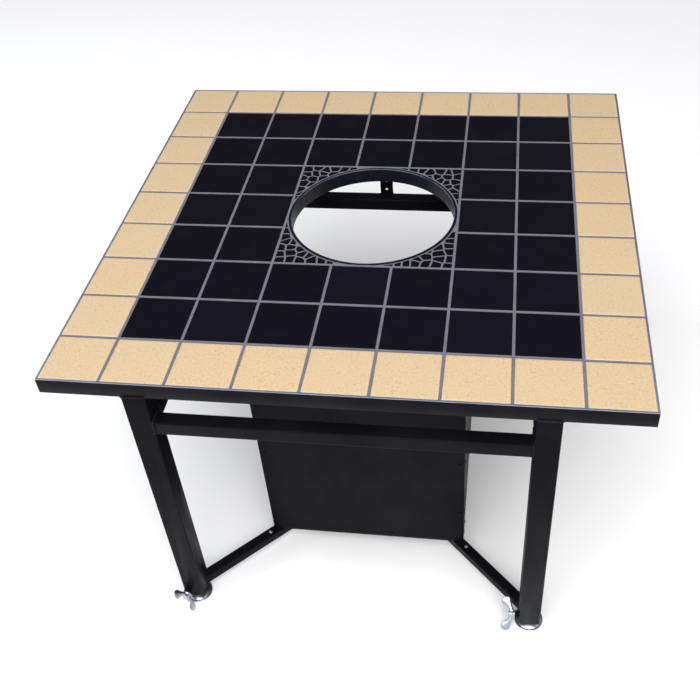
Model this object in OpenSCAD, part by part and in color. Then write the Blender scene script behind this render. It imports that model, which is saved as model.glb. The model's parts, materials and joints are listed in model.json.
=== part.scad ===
// Square tile-topped fire table with a round collar that takes a drop-in hibachi or fire bowl.
// Origin on the floor under the middle of the top, +Z up, front towards -Y.

/* [Top] */
// Side of the square top, over its steel edge
top_side = 914.4; // [760:0.1:1150]
// Height of the tiles' faces above the floor
table_h = 578; // [430:1:900]
// Depth of the light border tiles, from their inner joint to the steel edge
border_d = 93.9; // [60:0.1:120]
// Width of the grout joints
joint_w = 4.5; // [2:0.1:9]
// Rows of tiles inside the border, each way
inner_rows = 7; // [5:2:9]
// Least rows of tiles that the middle field takes the place of
field_rows = 3; // [3:2:5]
// Thickness of the tiles
tile_t = 8; // [5:0.5:12]
// Thickness of the grout bed under the tiles
bed_t = 2; // [1:0.5:5]
// Depth of the grout joints below the tiles' faces
joint_drop = 1; // [0.5:0.1:3]
// Thickness of the backing board
board_t = 15; // [10:0.5:25]
// Wall of the steel edge angles
edge_t = 3; // [2:0.5:5]
// Width of the edge angles' lower leg, which carries the board
edge_flange = 28; // [20:1:45]

/* [Mosaic] */
// Distance between the middles of neighbouring chips
chip_pitch = 17; // [14:0.5:24]
// How far a chip's middle strays from its place in the grid
chip_stray = 5.5; // [0:0.5:6]
// Gap between neighbouring chips
chip_gap = 3.4; // [2:0.1:5]
// Gap between the chips and the collar
chip_collar_gap = 2.6; // [2:0.1:5]
// Side of a square as large as the smallest chip that is laid
chip_least = 5; // [4:0.5:8]
// Choice of the random pattern of chips
chip_seed = 11; // [1:1:99]

/* [Collar] */
// Inner radius of the collar, which the bowl drops through
collar_r = 146.5; // [90:0.5:170]
// Wall of the collar
collar_wall = 5.5; // [3:0.5:9]
// Height of the collar, down from the tiles' faces
collar_h = 28; // [20:1:80]
// Chamfer round the collar's upper inner edge
collar_chamfer = 1.2; // [0.5:0.1:2]

/* [Legs and rails] */
// Side of the legs' square tube
leg_side = 38.1; // [37:0.1:60]
// Wall of the legs' tube
leg_wall = 2; // [1.5:0.1:4]
// Outer corner radius of the legs' tube
leg_round = 3; // [2.5:0.1:5]
// Distance of the legs' outer side faces from the top's left and right edges
leg_inset = 128.2; // [20:1:200]
// Height of the legs' lower ends above the floor
leg_lift = 15; // [14:0.5:30]
// Side of the rails' square tube
rail_side = 25.4; // [15:0.1:35]
// Wall of the rails' tube
rail_wall = 1.6; // [1:0.1:3]
// Outer corner radius of the rails' tube
rail_round = 2.2; // [2:0.1:4]
// Gap between the top's frame and the rails
rail_drop = 56; // [20:1:120]
// Distance of the two cross bars' middles from the middle of the table
cross_y = 179.7; // [165:0.1:230]

/* [Tabs] */
// Width of the tabs between the cross bars and the board
tab_w = 25; // [16:1:40]
// Thickness of the tabs
tab_t = 3; // [2:0.5:5]
// Length of the tabs' upper foot, under the board
tab_foot = 20; // [14:1:35]
// Radius of the tabs' two bolt holes
tab_hole_r = 2.8; // [2:0.1:5]
// Distance between the tabs' two bolt holes
tab_hole_gap = 19; // [12:0.5:24]
// Depth of the upper bolt hole below the board
tab_hole_drop = 32; // [25:1:40]

/* [Box] */
// Width of the sheet-metal box
box_w = 370; // [250:1:450]
// Distance of the box's front face from the middle of the table
box_front = 308; // [220:1:400]
// Distance of the side panels' rear edges behind the middle of the table
box_rear = 100; // [20:1:160]
// Thickness of the sheet metal
panel_t = 1.2; // [0.8:0.1:2]
// Leg of the angles inside the box's front corners
corner_leg = 15; // [10:0.5:25]
// Leg of the two hangers between the side panels and the front cross bar
hanger_leg = 20; // [14:1:30]
// Thickness of the hangers
hanger_t = 2; // [1.5:0.1:3]

/* [Lower frame] */
// Side of the square tube of the lower frame and the braces
bar_side = 19.05; // [14:0.05:26]
// Wall of that tube
bar_wall = 1.5; // [1:0.1:2.5]
// Outer corner radius of that tube
bar_round = 2; // [1.8:0.1:3]
// Height of the braces above the legs' lower ends
brace_lift = 4; // [2:0.5:12]
// Distance in from the box's sides at which the braces pass under its front and back
brace_in = 5.2; // [0:0.1:40]
// How far the braces' ends reach in from there
brace_reach = 32.5; // [8:0.1:40]
// Distance of the braces' rivets outside the box, along the brace
brace_rivet_out = 15; // [12:1:30]
// How far the plugs in the braces reach past their rivets
brace_plug_more = 9; // [6:1:20]

/* [Feet] */
// Radius of the foot pads
pad_r = 25.5; // [20:0.5:32]
// Height of the pads' rims
pad_rim = 3; // [2:0.5:5]
// Height of the pads' domes, where the hub begins
pad_dome = 8; // [6:0.5:10]
// Radius of the pads' hubs
hub_r = 10; // [8.5:0.5:13]
// Radius of the feet's stems
stem_r = 6; // [4:0.5:7]
// Radial clearance of the stems in the end plugs
stem_gap = 0.05; // [0.02:0.01:0.1]
// How far the feet can be let down
foot_travel = 20; // [5:1:30]
// Height of the end plugs in the legs
plug_h = 34; // [28:1:50]
// Slot that lets an end plug be pinched on its stem
slot_w = 2; // [1:0.5:3]

/* [Lock screws] */
// Radius of the wing screws' shanks
lock_r = 4; // [3:0.1:4.2]
// Radial clearance of the shanks
lock_gap = 0.05; // [0.02:0.01:0.1]
// Plastic left between a stem's bore and a wing screw's bore
lock_web = 0.9; // [0.5:0.1:1.2]
// Height of the wing screws' axes above the legs' lower ends
lock_lift = 16; // [15:0.5:20]
// How far the shanks reach in past the leg's middle plane
lock_reach = 10; // [6:0.5:12]
// Thickness of the nuts welded on the legs
nut_t = 6.5; // [4:0.5:9]
// Corner radius of those nuts
nut_r = 7.5; // [6.8:0.1:8]
// Gap between a nut and the wing screw's hub
wing_gap = 0.4; // [0.2:0.1:2]
// Radius of the wing screws' hubs
wing_hub_r = 7; // [6:0.5:9]
// Length of the wing screws' hubs
wing_hub_h = 11; // [8:0.5:15]
// Reach of each wing from the screw's axis
wing_reach = 30; // [20:0.5:30.5]
// Radius of the wings' round ends
wing_r = 8.5; // [6:0.5:10]
// Thickness of the wings
wing_t = 3.4; // [2:0.1:5]
// Turn of the left wing screws at rest
wing_turn_left = -59; // [-180:1:180]
// Turn of the right wing screws at rest
wing_turn_right = 46; // [-180:1:180]

/* [Fasteners] */
// Radius of the rivets' shanks
rivet_r = 1.6; // [1:0.1:2.4]
// Radius of the rivets' heads
rivet_head_r = 3.4; // [2.6:0.1:5]
// Height of the rivets' heads
rivet_head_h = 1.3; // [0.8:0.1:2]
// Radius of the board screws' shanks
screw_r = 2; // [1.5:0.1:3]
// Radius of the board screws' heads
screw_head_r = 4; // [3.5:0.1:6]
// Height of the board screws' heads
screw_head_h = 2.4; // [1.5:0.1:4]
// How far the board screws go into the board
screw_bite = 11; // [6:0.5:14]
// Distance of the outer board screws from the top's corners
screw_end = 90; // [60:1:120]

/* [Hidden] */
$fn = 48;
eps = 1;

// Heights, from the top down
top_half = top_side / 2;
tile_z = table_h - tile_t;
bed_z = tile_z - bed_t;
board_z = bed_z - board_t;
edge_z = board_z - edge_t;
rail_z = edge_z - rail_drop - rail_side;
brace_z = leg_lift + brace_lift;
lower_z = brace_z + bar_side;
lower_top = lower_z + bar_side;
lock_z = leg_lift + lock_lift;
lock_offset = stem_r + stem_gap + lock_web + lock_gap + lock_r;

// Tile grid
pitch = 2 * (top_half - edge_t - border_d - joint_w / 2) / inner_rows;
tile_side = pitch - joint_w;
board_half = top_half - edge_t;
ring_out = board_half - border_d;
collar_out = collar_r + collar_wall;

// The mosaic field spans as many whole rows as it takes to reach round the collar
rows_round_collar = 2 * ceil(((collar_out - joint_w / 2) / pitch - 0.5)) + 1;
mosaic_rows = max(field_rows, rows_round_collar);
field_half = mosaic_rows * pitch / 2 - joint_w / 2;

// Middles of the legs
leg_x = top_half - leg_inset - leg_side / 2;
leg_y = top_half - leg_side / 2;
leg_in_x = leg_x - leg_side / 2;
leg_in_y = leg_y - leg_side / 2;
leg_bore = leg_side - 2 * leg_wall;

// Box
panel_in = box_w / 2 - panel_t;
panel_back = box_front - panel_t;
box_top = rail_z;
corner_h = box_top - lower_top;
rivet_rows = [for (k = [0:2]) lower_top + corner_h * (k + 0.5) / 3];
bar_mid_z = lower_z + bar_side / 2;

module rounded_square(side, r) {
    inner = side - 2 * r;
    square([side, inner], center = true);
    square([inner, side], center = true);
    for (x = [-1, 1], y = [-1, 1])
        translate([x * inner / 2, y * inner / 2])
            circle(r);
}

module tube_profile(side, wall, r) {
    difference() {
        rounded_square(side, r);
        rounded_square(side - 2 * wall, max(r - wall, 0.3));
    }
}

// A square tube along X, centred on the origin
module tube_x(len, side, wall, r) {
    rotate([90, 0, 90])
        linear_extrude(len, center = true)
            tube_profile(side, wall, r);
}

module tube_y(len, side, wall, r) {
    rotate([90, 0, 0])
        linear_extrude(len, center = true)
            tube_profile(side, wall, r);
}

// ---- Top ----

// The two outer joints of each mitred side lie on the diagonals
module edge_side(turn) {
    color("#2b2930")
        rotate(turn)
            difference() {
                translate([0, -top_half, edge_z])
                    rotate([90, 0, 90])
                        linear_extrude(top_side, center = true)
                            polygon([
                                [0, 0], [edge_flange, 0], [edge_flange, edge_t],
                                [edge_t, edge_t], [edge_t, table_h - edge_z],
                                [0, table_h - edge_z]
                            ]);
                for (s = [-1, 1])
                    translate([s * top_half, -top_half, edge_z - eps])
                        rotate(s * 45)
                            translate([s > 0 ? 0 : -edge_flange * 2, -edge_flange * 2, 0])
                                cube([edge_flange * 2, edge_flange * 4, table_h]);
                board_screw_holes();
            }
}

// Places of the four board screws along the front side
module along_edge() {
    reach = top_half - screw_end;
    for (k = [-1, -1 / 3, 1 / 3, 1])
        translate([k * reach, -top_half + (edge_t + edge_flange) / 2, edge_z])
            children();
}

module board_screw_holes() {
    along_edge()
        translate([0, 0, -eps])
            cylinder(r = screw_r, h = eps + edge_t + screw_bite);
}

module board_screws() {
    color("#8d8f94")
        for (turn = [0:90:270])
            rotate(turn)
                along_edge() {
                    cylinder(r = screw_r, h = edge_t + screw_bite);
                    translate([0, 0, -screw_head_h])
                        cylinder(r = screw_head_r, h = screw_head_h);
                }
}

module backing_board() {
    color("#b9b5aa")
        difference() {
            translate([-board_half, -board_half, board_z])
                cube([2 * board_half, 2 * board_half, board_t]);
            translate([0, 0, board_z - eps])
                cylinder(r = collar_out, h = board_t + 2 * eps, $fn = 96);
            for (turn = [0:90:270])
                rotate(turn)
                    board_screw_holes();
            for (s = [-1, 1])
                tab_screw_place(s)
                    translate([0, 0, -tab_t - eps])
                        cylinder(r = screw_r, h = tab_t + eps + screw_bite);
        }
}

module grout_bed() {
    color("#77757f")
        difference() {
            translate([-board_half, -board_half, bed_z])
                cube([2 * board_half, 2 * board_half, bed_t + tile_t - joint_drop]);
            collar_clear();
            border_shapes();
            field_shapes();
            chip_shapes();
        }
}

// One tile, from its low corner to its high corner
module tile_between(a, b) {
    translate([a[0], a[1], tile_z])
        cube([b[0] - a[0], b[1] - a[1], tile_t]);
}

module border_shapes() {
    for (turn = [0:90:270])
        rotate(turn) {
            for (k = [0:inner_rows - 1]) {
                x = (k - (inner_rows - 1) / 2) * pitch;
                tile_between([x - tile_side / 2, -board_half], [x + tile_side / 2, -ring_out]);
            }
            tile_between([-board_half, -board_half], [-ring_out, -ring_out]);
        }
}

module field_shapes() {
    reach = (inner_rows - 1) / 2;
    hole = (mosaic_rows - 1) / 2;
    for (i = [-reach:reach], j = [-reach:reach])
        if (abs(i) > hole || abs(j) > hole)
            tile_between(
                [i * pitch - tile_side / 2, j * pitch - tile_side / 2],
                [i * pitch + tile_side / 2, j * pitch + tile_side / 2]
            );
}

module border_tiles() {
    color("#f1d3a2")
        border_shapes();
}

module field_tiles() {
    color("#15131c")
        difference() {
            field_shapes();
            collar_clear();
        }
}

// Room for the collar, should it reach into the tiles
module collar_clear() {
    translate([0, 0, bed_z - eps])
        cylinder(r = collar_out, h = bed_t + tile_t + 2 * eps, $fn = 96);
}

// ---- Broken chips: cells round scattered seeds, kept apart by the gap ----

// The part of a polygon where a point times n is at most d
function clip(poly, n, d) = [
    for (i = [0:len(poly) - 1])
        let (p = poly[i], q = poly[(i + 1) % len(poly)], fp = p * n - d, fq = q * n - d)
            each concat(fp <= 0 ? [p] : [], fp * fq < 0 ? [p + (q - p) * fp / (fp - fq)] : [])
];

// Cell of seed k, clipped by its neighbours from number j on
function cell(seeds, k, j, poly) =
    j == len(seeds) || len(poly) == 0 ? poly :
    j == k ? cell(seeds, k, j + 1, poly) :
    let (way = seeds[j] - seeds[k], n = way / norm(way))
        cell(seeds, k, j + 1, clip(poly, n, n * (seeds[j] + seeds[k]) / 2 - chip_gap / 2));

function middle(poly) = [for (p = poly) 1] * poly / len(poly);

chip_rows = ceil(field_half / chip_pitch);

function chip_seeds(corner) =
    let (n = chip_rows * chip_rows, r = rands(-chip_stray, chip_stray, 2 * n, chip_seed + corner))
        [for (i = [0:chip_rows - 1], j = [0:chip_rows - 1])
            let (k = i * chip_rows + j)
                [field_half - (i + 0.5) * chip_pitch + r[k], field_half - (j + 0.5) * chip_pitch + r[n + k]]];

// Twice the area of a polygon
function area2(poly) = len(poly) < 3 ? 0 : abs([for (i = [0:len(poly) - 1])
    cross(poly[i], poly[(i + 1) % len(poly)])] * [for (p = poly) 1]);

// Chips of one corner: each cell is broken off straight where it would reach the collar
module corner_chips(corner) {
    seeds = chip_seeds(corner);
    low = field_half - chip_rows * chip_pitch;
    square_cell = [[low, low], [field_half, low], [field_half, field_half], [low, field_half]];
    clear = collar_out + chip_collar_gap;
    for (k = [0:len(seeds) - 1])
        if (norm(seeds[k]) > clear - chip_pitch) {
            whole = cell(seeds, k, 0, square_cell);
            out = len(whole) > 2 ? middle(whole) / norm(middle(whole)) : [1, 0];
            outline = len(whole) > 2 ? clip(whole, -out, -clear) : [];
            if (area2(outline) > chip_least * chip_least * 2)
                polygon(outline);
        }
}

module chip_shapes() {
    for (corner = [0:3])
        translate([0, 0, tile_z])
            linear_extrude(tile_t)
                rotate(corner * 90)
                    corner_chips(corner);
}

module mosaic_chips() {
    color("#1b1922")
        chip_shapes();
}

module collar_ring() {
    color("#2e2c36")
        translate([0, 0, table_h - collar_h])
            rotate_extrude($fn = 128)
                polygon([
                    [collar_r, 0], [collar_out, 0], [collar_out, collar_h],
                    [collar_r + collar_chamfer, collar_h], [collar_r, collar_h - collar_chamfer]
                ]);
}

// ---- Legs, rails and cross bars ----

// Puts its children at a leg's lock screw: local +Z points out of the leg, 0 is its middle plane
module at_lock(sx, sy) {
    translate([
        sx * leg_x + (sx < 0 ? -lock_offset : 0),
        sy * leg_y + (sx < 0 ? 0 : sy * lock_offset),
        lock_z
    ])
        rotate(sx < 0 ? [-90 * sy, 0, 0] : [0, -90, 0])
            children();
}

module lock_hole(from) {
    translate([0, 0, from])
        cylinder(r = lock_r + lock_gap, h = leg_side + nut_t);
}

module leg(sx, sy) {
    color("#2b2930")
        difference() {
            translate([sx * leg_x, sy * leg_y, leg_lift])
                linear_extrude(edge_z - leg_lift)
                    tube_profile(leg_side, leg_wall, leg_round);
            at_lock(sx, sy)
                lock_hole(0);
        }
}

module rail_long(sy) {
    color("#2b2930")
        translate([0, sy * (top_half - rail_side / 2), rail_z + rail_side / 2])
            tube_x(2 * leg_in_x, rail_side, rail_wall, rail_round);
}

module rail_short(sx) {
    color("#2b2930")
        translate([sx * (leg_in_x + rail_side / 2), 0, rail_z + rail_side / 2])
            tube_y(2 * leg_in_y, rail_side, rail_wall, rail_round);
}

module cross_bar(sy) {
    color("#2b2930")
        difference() {
            translate([0, sy * cross_y, rail_z + rail_side / 2])
                tube_x(2 * leg_in_x, rail_side, rail_wall, rail_round);
            if (sy < 0)
                hanger_rivet_places()
                    translate([0, 0, hanger_t - eps])
                        cylinder(r = rivet_r, h = rail_wall + eps);
        }
}

// Behind a cross bar, on the side away from the collar
module tab_screw_place(sy) {
    translate([0, sy * (cross_y + rail_side / 2 + tab_t + (tab_foot - tab_t) / 2), board_z])
        children();
}

module tab(sy) {
    near = cross_y + rail_side / 2;
    color("#2b2930")
        difference() {
            union() {
                translate([-tab_w / 2, sy > 0 ? near : -near - tab_t, rail_z])
                    cube([tab_w, tab_t, board_z - rail_z]);
                translate([-tab_w / 2, sy > 0 ? near : -near - tab_foot, board_z - tab_t])
                    cube([tab_w, tab_foot, tab_t]);
            }
            for (k = [0, 1])
                translate([0, sy * near, board_z - tab_hole_drop - k * tab_hole_gap])
                    rotate([90, 0, 0])
                        cylinder(r = tab_hole_r, h = 4 * tab_t, center = true);
            tab_screw_place(sy)
                translate([0, 0, -tab_t - eps])
                    cylinder(r = screw_r, h = tab_t + 2 * eps);
        }
}

module tab_screws() {
    color("#8d8f94")
        for (s = [-1, 1])
            tab_screw_place(s) {
                translate([0, 0, -tab_t])
                    cylinder(r = screw_r, h = tab_t + screw_bite);
                translate([0, 0, -tab_t - screw_head_h])
                    cylinder(r = screw_head_r, h = screw_head_h);
            }
}

// ---- Lower frame and braces ----

module lower_bar_long(sy) {
    color("#2b2930")
        difference() {
            translate([0, sy * (panel_back - bar_side / 2), bar_mid_z])
                tube_x(2 * panel_in, bar_side, bar_wall, bar_round);
            if (sy < 0)
                front_rivet_places(front_low_rivets)
                    rivet_hole(panel_t + bar_wall);
        }
}

module lower_bar_short(sx) {
    len = 2 * (panel_back - bar_side);
    color("#2b2930")
        difference() {
            translate([sx * (panel_in - bar_side / 2), 0, bar_mid_z])
                tube_y(len, bar_side, bar_wall, bar_round);
            side_rivet_places(sx, side_low_rivets)
                rivet_hole(panel_t + bar_wall);
        }
}

// A brace's middle line: from the leg's middle, under a point of the box's front or back edge
brace_dx = leg_x - (box_w / 2 - brace_in);
brace_dy = leg_y - box_front;
brace_turn = atan2(brace_dy, brace_dx);
brace_out = norm([brace_dx, brace_dy]);
brace_len = brace_out + brace_reach;
brace_plug = brace_reach + brace_rivet_out + brace_plug_more;

// Puts its children on a brace's middle line: local +X runs inwards from the leg's middle
module along_brace(sx, sy) {
    translate([sx * leg_x, sy * leg_y, brace_z + bar_side / 2])
        rotate(sx < 0 ? -sy * brace_turn : sy * (brace_turn - 180))
            children();
}

// On the brace's upper face, just outside the box
module brace_rivet_place(sx, sy) {
    along_brace(sx, sy)
        translate([brace_out - brace_rivet_out, 0, bar_side / 2])
            children();
}

module brace(sx, sy) {
    color("#2b2930")
        difference() {
            along_brace(sx, sy)
                translate([brace_len / 2, 0, 0])
                    tube_x(brace_len, bar_side, bar_wall, bar_round);
            translate([sx * leg_x, sy * leg_y, brace_z - eps])
                linear_extrude(bar_side + 2 * eps)
                    rounded_square(leg_side, leg_round);
            brace_rivet_place(sx, sy)
                rivet_hole(bar_wall);
        }
}

module brace_plugs() {
    color("#17171b")
        for (sx = [-1, 1], sy = [-1, 1])
            difference() {
                along_brace(sx, sy)
                    translate([brace_len - brace_plug / 2, 0, 0])
                        rotate([90, 0, 90])
                            linear_extrude(brace_plug, center = true)
                                rounded_square(bar_side - 2 * bar_wall, max(bar_round - bar_wall, 0.3));
                brace_rivet_place(sx, sy)
                    rivet_hole(bar_wall + 4);
            }
}

module brace_rivets() {
    color("#c9cbd0")
        for (sx = [-1, 1], sy = [-1, 1])
            brace_rivet_place(sx, sy)
                rivet(bar_wall + 4);
}

// ---- Rivets: local +Z points out of the sheet ----

module rivet(grip) {
    translate([0, 0, -grip])
        cylinder(r = rivet_r, h = grip);
    rotate_extrude()
        polygon([
            [0, 0], [rivet_head_r, 0], [rivet_head_r, rivet_head_h / 3],
            [rivet_head_r * 0.6, rivet_head_h], [0, rivet_head_h]
        ]);
}

module rivet_hole(grip) {
    translate([0, 0, -grip])
        cylinder(r = rivet_r, h = grip + eps);
}

front_low_rivets = [for (k = [-1, -1 / 3, 1 / 3, 1]) [k * (panel_in - bar_side - 20), bar_mid_z]];
front_corner_rivets = [for (s = [-1, 1], z = rivet_rows) [s * (panel_in - corner_leg / 2), z]];
side_low_from = -panel_back + bar_side + 20;
side_low_rivets = [for (k = [0:2]) [side_low_from + k * (box_rear - 20 - side_low_from) / 2, bar_mid_z]];
side_corner_rivets = [for (z = rivet_rows) [-panel_back + corner_leg / 2, z]];
hanger_side_rivets = [[-cross_y, box_top - hanger_leg / 2]];

module front_rivet_places(places) {
    for (p = places)
        translate([p[0], -box_front, p[1]])
            rotate([90, 0, 0])
                children();
}

module side_rivet_places(sx, places) {
    for (p = places)
        translate([sx * box_w / 2, p[0], p[1]])
            rotate([0, 90 * sx, 0])
                children();
}

module hanger_rivet_places() {
    for (s = [-1, 1])
        translate([s * (panel_in - hanger_leg / 2), -cross_y, box_top - hanger_t])
            children();
}

module box_rivets() {
    color("#2f2d36") {
        front_rivet_places(front_low_rivets)
            rivet(panel_t + bar_wall);
        front_rivet_places(front_corner_rivets)
            rivet(2 * panel_t);
        for (sx = [-1, 1]) {
            side_rivet_places(sx, side_low_rivets)
                rivet(panel_t + bar_wall);
            side_rivet_places(sx, side_corner_rivets)
                rivet(2 * panel_t);
            side_rivet_places(sx, hanger_side_rivets)
                rivet(panel_t + hanger_t);
        }
        hanger_rivet_places()
            rotate([180, 0, 0])
                rivet(hanger_t + rail_wall);
    }
}

// ---- Sheet-metal box ----

module box_front_panel() {
    color("#26242c")
        difference() {
            translate([-box_w / 2, -box_front, lower_z])
                cube([box_w, panel_t, box_top - lower_z]);
            front_rivet_places(concat(front_low_rivets, front_corner_rivets))
                rivet_hole(panel_t + eps);
        }
}

module box_side_panel(sx) {
    color("#26242c")
        difference() {
            translate([sx > 0 ? panel_in : -box_w / 2, -panel_back, lower_z])
                cube([panel_t, panel_back + box_rear, box_top - lower_z]);
            side_rivet_places(sx, concat(side_low_rivets, side_corner_rivets, hanger_side_rivets))
                rivet_hole(panel_t + eps);
        }
}

module box_corner_angles() {
    color("#2b2930")
        for (sx = [-1, 1])
            difference() {
                union() {
                    translate([sx > 0 ? panel_in - corner_leg : -panel_in, -panel_back, lower_top])
                        cube([corner_leg, panel_t, corner_h]);
                    translate([sx > 0 ? panel_in - panel_t : -panel_in, -panel_back, lower_top])
                        cube([panel_t, corner_leg, corner_h]);
                }
                front_rivet_places(front_corner_rivets)
                    rivet_hole(2 * panel_t + eps);
                side_rivet_places(sx, side_corner_rivets)
                    rivet_hole(2 * panel_t + eps);
            }
}

module box_hangers() {
    color("#2b2930")
        for (sx = [-1, 1])
            difference() {
                union() {
                    translate([sx > 0 ? panel_in - hanger_leg : -panel_in, -cross_y - rail_side / 2,
                               box_top - hanger_t])
                        cube([hanger_leg, rail_side, hanger_t]);
                    translate([sx > 0 ? panel_in - hanger_t : -panel_in, -cross_y - rail_side / 2,
                               box_top - hanger_leg])
                        cube([hanger_t, rail_side, hanger_leg]);
                }
                hanger_rivet_places()
                    translate([0, 0, -eps])
                        cylinder(r = rivet_r, h = hanger_t + 2 * eps);
                side_rivet_places(sx, hanger_side_rivets)
                    rivet_hole(panel_t + hanger_t + eps);
            }
}

// ---- Feet and lock screws ----

// Way from the stem to the lock screw, where the plug is slotted
function slot_turn(sx, sy) = sx < 0 ? 180 : 90 * sy;

module plug(sx, sy) {
    color("#3a3a40")
        difference() {
            translate([sx * leg_x, sy * leg_y, leg_lift])
                difference() {
                    linear_extrude(plug_h)
                        rounded_square(leg_bore, max(leg_round - leg_wall, 0.3));
                    translate([0, 0, -eps])
                        cylinder(r = stem_r + stem_gap, h = plug_h + 2 * eps);
                    rotate(slot_turn(sx, sy))
                        translate([0, -slot_w / 2, -eps])
                            cube([leg_side, slot_w, plug_h + 2 * eps]);
                }
            at_lock(sx, sy)
                lock_hole(-lock_reach - lock_gap);
        }
}

module lock_nuts() {
    color("#2b2930")
        for (sx = [-1, 1], sy = [-1, 1])
            at_lock(sx, sy)
                difference() {
                    translate([0, 0, leg_side / 2])
                        rotate(30)
                            cylinder(r = nut_r, h = nut_t, $fn = 6);
                    lock_hole(0);
                }
}

module pad(sx, sy) {
    color("#cfd2d6")
        translate([sx * leg_x, sy * leg_y, 0])
            rotate_extrude()
                polygon([
                    [0, 0], [pad_r - 0.8, 0], [pad_r, 0.8], [pad_r, pad_rim - 0.8],
                    [pad_r - 0.8, pad_rim], [hub_r + 4, pad_dome - 1.5], [hub_r, pad_dome],
                    [hub_r, leg_lift], [stem_r, leg_lift], [stem_r, pad_rim], [0, pad_rim]
                ]);
}

module stem(sx, sy) {
    color("#c4c7cc")
        translate([sx * leg_x, sy * leg_y, pad_rim])
            cylinder(r = stem_r, h = leg_lift - pad_rim + plug_h + foot_travel);
}

module wing_screw(sx, sy) {
    hub_low = leg_side / 2 + nut_t + wing_gap;
    color("#d3d6da")
        at_lock(sx, sy)
            rotate(sx < 0 ? wing_turn_left : wing_turn_right) {
                translate([0, 0, -lock_reach])
                    cylinder(r = lock_r, h = lock_reach + hub_low + wing_hub_h / 2);
                translate([0, 0, hub_low])
                    cylinder(r1 = wing_hub_r, r2 = wing_hub_r - 1.5, h = wing_hub_h);
                translate([0, wing_t / 2, hub_low])
                    rotate([90, 0, 0])
                        linear_extrude(wing_t)
                            for (s = [0, 1])
                                mirror([s, 0]) {
                                    translate([wing_reach - wing_r, wing_hub_h + wing_r / 2])
                                        circle(wing_r);
                                    polygon([
                                        [0, 2], [wing_hub_r, 2], [wing_reach - wing_r + 2, wing_hub_h - 2],
                                        [wing_reach - 2 * wing_r, wing_hub_h + wing_r / 2 + 1],
                                        [0, wing_hub_h - 1]
                                    ]);
                                }
            }
}

edge_side(0);  // edge_front
edge_side(180);  // edge_back
edge_side(270);  // edge_left
edge_side(90);  // edge_right
backing_board();
board_screws();
grout_bed();
border_tiles();
field_tiles();
mosaic_chips();
collar_ring();
leg(-1, -1);  // leg_front_left
leg(1, -1);  // leg_front_right
leg(-1, 1);  // leg_back_left
leg(1, 1);  // leg_back_right
rail_long(-1);  // rail_front
rail_long(1);  // rail_back
rail_short(-1);  // rail_left
rail_short(1);  // rail_right
cross_bar(-1);  // cross_bar_front
cross_bar(1);  // cross_bar_back
tab(-1);  // tab_front
tab(1);  // tab_back
tab_screws();
lower_bar_long(-1);  // lower_bar_front
lower_bar_long(1);  // lower_bar_back
lower_bar_short(-1);  // lower_bar_left
lower_bar_short(1);  // lower_bar_right
brace(-1, -1);  // brace_front_left
brace(1, -1);  // brace_front_right
brace(-1, 1);  // brace_back_left
brace(1, 1);  // brace_back_right
brace_plugs();
brace_rivets();
box_front_panel();
box_side_panel(-1);  // box_left_panel
box_side_panel(1);  // box_right_panel
box_corner_angles();
box_hangers();
box_rivets();
plug(-1, -1);  // plug_front_left
plug(1, -1);  // plug_front_right
plug(-1, 1);  // plug_back_left
plug(1, 1);  // plug_back_right
lock_nuts();
pad(-1, -1);  // pad_front_left
pad(1, -1);  // pad_front_right
pad(-1, 1);  // pad_back_left
pad(1, 1);  // pad_back_right
stem(-1, -1);  // stem_front_left
stem(1, -1);  // stem_front_right
stem(-1, 1);  // stem_back_left
stem(1, 1);  // stem_back_right
wing_screw(-1, -1);  // wing_screw_front_left
wing_screw(1, -1);  // wing_screw_front_right
wing_screw(-1, 1);  // wing_screw_back_left
wing_screw(1, 1);  // wing_screw_back_right
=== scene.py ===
import json
import math
import random

import bmesh
import bpy
from mathutils import Matrix, Vector, noise


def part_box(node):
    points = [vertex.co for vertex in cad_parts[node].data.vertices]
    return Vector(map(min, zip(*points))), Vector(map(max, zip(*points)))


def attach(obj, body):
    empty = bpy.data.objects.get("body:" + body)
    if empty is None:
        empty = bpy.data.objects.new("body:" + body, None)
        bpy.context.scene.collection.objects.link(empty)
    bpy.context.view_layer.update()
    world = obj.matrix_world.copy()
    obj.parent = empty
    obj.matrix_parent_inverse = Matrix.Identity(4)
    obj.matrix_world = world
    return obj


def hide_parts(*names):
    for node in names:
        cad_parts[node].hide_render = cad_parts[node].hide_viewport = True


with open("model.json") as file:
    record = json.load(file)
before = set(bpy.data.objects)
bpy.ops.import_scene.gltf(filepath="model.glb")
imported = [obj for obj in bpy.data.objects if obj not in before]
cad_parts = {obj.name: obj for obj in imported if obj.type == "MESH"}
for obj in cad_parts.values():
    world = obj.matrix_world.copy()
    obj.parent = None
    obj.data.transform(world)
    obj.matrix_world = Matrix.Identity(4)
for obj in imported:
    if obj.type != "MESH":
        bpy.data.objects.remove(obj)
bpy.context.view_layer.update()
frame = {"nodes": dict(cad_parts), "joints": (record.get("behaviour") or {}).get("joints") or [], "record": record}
corners = {"front_left": (-1, -1), "front_right": (1, -1), "back_left": (-1, 1), "back_right": (1, 1)}
mm = 0.001
smoothBelow = math.radians(35)
print("frame loaded")

# camera: a standing person's view from the front, a little to the right of the middle
view = {
    "place": (0.2265, -1.3756, 1.5413),
    "turn": (48.463, 3.418, 7.606),
    "lens": 48.05,
    "film": 36,
    "shift": (-0.0205, -0.0349),
}
cameraData = bpy.data.cameras.new("camera")
cameraData.lens = view["lens"]
cameraData.sensor_width = view["film"]
cameraData.shift_x, cameraData.shift_y = view["shift"]
camera = bpy.data.objects.new("camera", cameraData)
camera.location = view["place"]
camera.rotation_euler = [math.radians(angle) for angle in view["turn"]]
bpy.context.scene.collection.objects.link(camera)
bpy.context.scene.camera = camera
bpy.context.scene.view_settings.view_transform = "Standard"


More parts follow.
